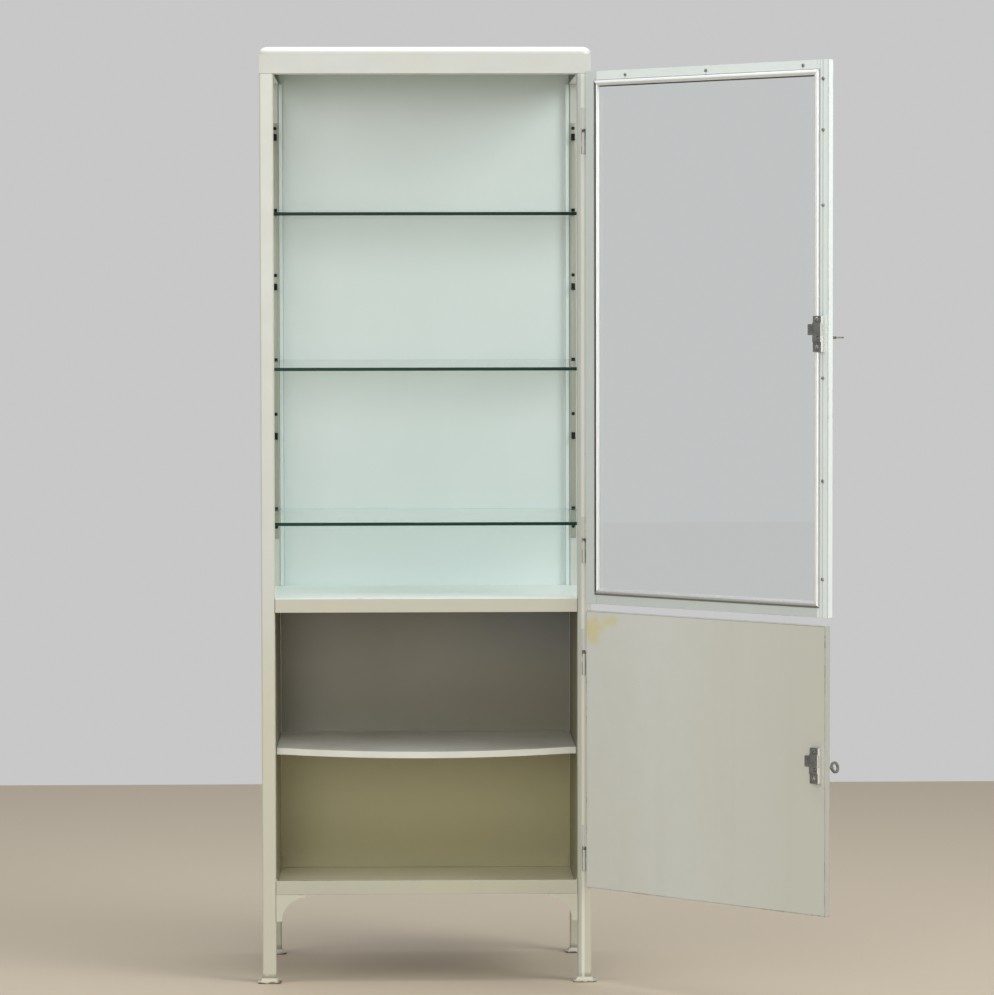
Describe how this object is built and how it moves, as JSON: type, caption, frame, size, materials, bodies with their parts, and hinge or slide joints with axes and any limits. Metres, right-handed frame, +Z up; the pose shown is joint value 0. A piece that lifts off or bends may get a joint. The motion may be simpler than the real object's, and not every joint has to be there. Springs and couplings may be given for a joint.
{
  "type": "glass door medical cabinet",
  "caption": "Tall steel medicine cabinet on legs with a glazed upper door, solid lower door, glass sides, glass shelves on clips and a steel shelf below.",
  "frame": {"origin": "on the floor under the middle of the front left foot", "axes": "+Z up, -Y out of the front, +X to the viewer's right, towards the hinges"},
  "size_m": [1.0307, 0.7987, 1.702],
  "materials": {
    "enamel": "aged cream enamel, semi-gloss, chipped at edges",
    "white_enamel": "white enamel with a cool tint, semi-gloss",
    "lining_enamel": "greenish grey enamel, satin",
    "foot_paint": "worn paint over rusted steel",
    "clear_glass": "clear float glass with green edges",
    "bright_aluminium": "bright drawn aluminium",
    "lock_steel": "dull dark steel",
    "key_steel": "plain worn steel"
  },
  "bodies": {
    "cabinet": {"left_front_post": "enamel", "left_rear_post": "enamel", "right_front_post": "enamel", "right_rear_post": "enamel", "left_front_foot": "foot_paint", "left_rear_foot": "foot_paint", "right_front_foot": "foot_paint", "right_rear_foot": "foot_paint", "top_cap": "enamel", "head_frame": "enamel", "back_panel": "white_enamel", "left_side_glass": "clear_glass", "right_side_glass": "clear_glass", "left_side_panel": "lining_enamel", "right_side_panel": "lining_enamel", "left_side_lining": "lining_enamel", "right_side_lining": "lining_enamel", "middle_floor": "enamel", "base_pan": "enamel", "left_front_gusset": "enamel", "left_rear_gusset": "enamel", "right_front_gusset": "enamel", "right_rear_gusset": "enamel", "left_front_standard": "enamel", "left_rear_standard": "enamel", "right_front_standard": "enamel", "right_rear_standard": "enamel", "glass_shelf_1": "clear_glass", "glass_shelf_2": "clear_glass", "glass_shelf_3": "clear_glass", "steel_shelf": "lining_enamel", "left_shelf_ledge": "lining_enamel", "right_shelf_ledge": "lining_enamel", "upper_door_top_pintle": "enamel", "upper_door_bottom_pintle": "enamel", "lower_door_top_pintle": "enamel", "lower_door_bottom_pintle": "enamel"},
    "upper_door": {"hinge_stile": "enamel", "lock_stile": "enamel", "top_rail": "enamel", "bottom_rail": "enamel", "door_glass": "clear_glass", "top_bead": "bright_aluminium", "bottom_bead": "bright_aluminium", "hinge_side_bead": "bright_aluminium", "lock_side_bead": "bright_aluminium", "upper_lock_case": "lock_steel", "upper_door_top_knuckle": "enamel", "upper_door_bottom_knuckle": "enamel"},
    "lower_door": {"lower_door_skin": "enamel", "lower_door_lining": "lining_enamel", "lower_lock_case": "lock_steel", "lower_door_top_knuckle": "enamel", "lower_door_bottom_knuckle": "enamel"},
    "upper_bolt": {"upper_lock_bolt": "lock_steel"},
    "upper_key_body": {"upper_key": "key_steel"},
    "lower_bolt": {"lower_lock_bolt": "lock_steel"},
    "lower_key_body": {"lower_key": "key_steel"}
  },
  "joints": [
    {"name": "upper_door_hinge", "type": "hinge", "parent": "cabinet", "child": "upper_door", "pos_m": [0.574, -0.0165, 1.1745], "axis": [0, 0, 1], "range_deg": [-135.6, 16]},
    {"name": "lower_door_hinge", "type": "hinge", "parent": "cabinet", "child": "lower_door", "pos_m": [0.574, -0.0165, 0.427], "axis": [0, 0, 1], "range_deg": [-134.9, 16.5]},
    {"name": "upper_key_turn", "type": "hinge", "parent": "upper_door", "child": "upper_key_body", "pos_m": [0.97157, -0.40233, 1.1775], "axis": [0.6997, 0.7145, 0], "range_deg": [0, 90]},
    {"name": "upper_bolt_slide", "type": "slide", "parent": "upper_door", "child": "upper_bolt", "axis": [0.7145, -0.6997, 0], "range_m": [0, 0.009]},
    {"name": "lower_key_turn", "type": "hinge", "parent": "lower_door", "child": "lower_key_body", "pos_m": [0.96682, -0.40716, 0.4305], "axis": [0.7083, 0.7059, 0], "range_deg": [0, 90]},
    {"name": "lower_bolt_slide", "type": "slide", "parent": "lower_door", "child": "lower_bolt", "axis": [0.7059, -0.7083, 0], "range_m": [0, 0.009]}
  ],
  "couplings": [
    {"joint": "upper_bolt_slide", "follows": "upper_key_turn", "m_per_rad": 0.0057},
    {"joint": "lower_bolt_slide", "follows": "lower_key_turn", "m_per_rad": 0.0057}
  ]
}
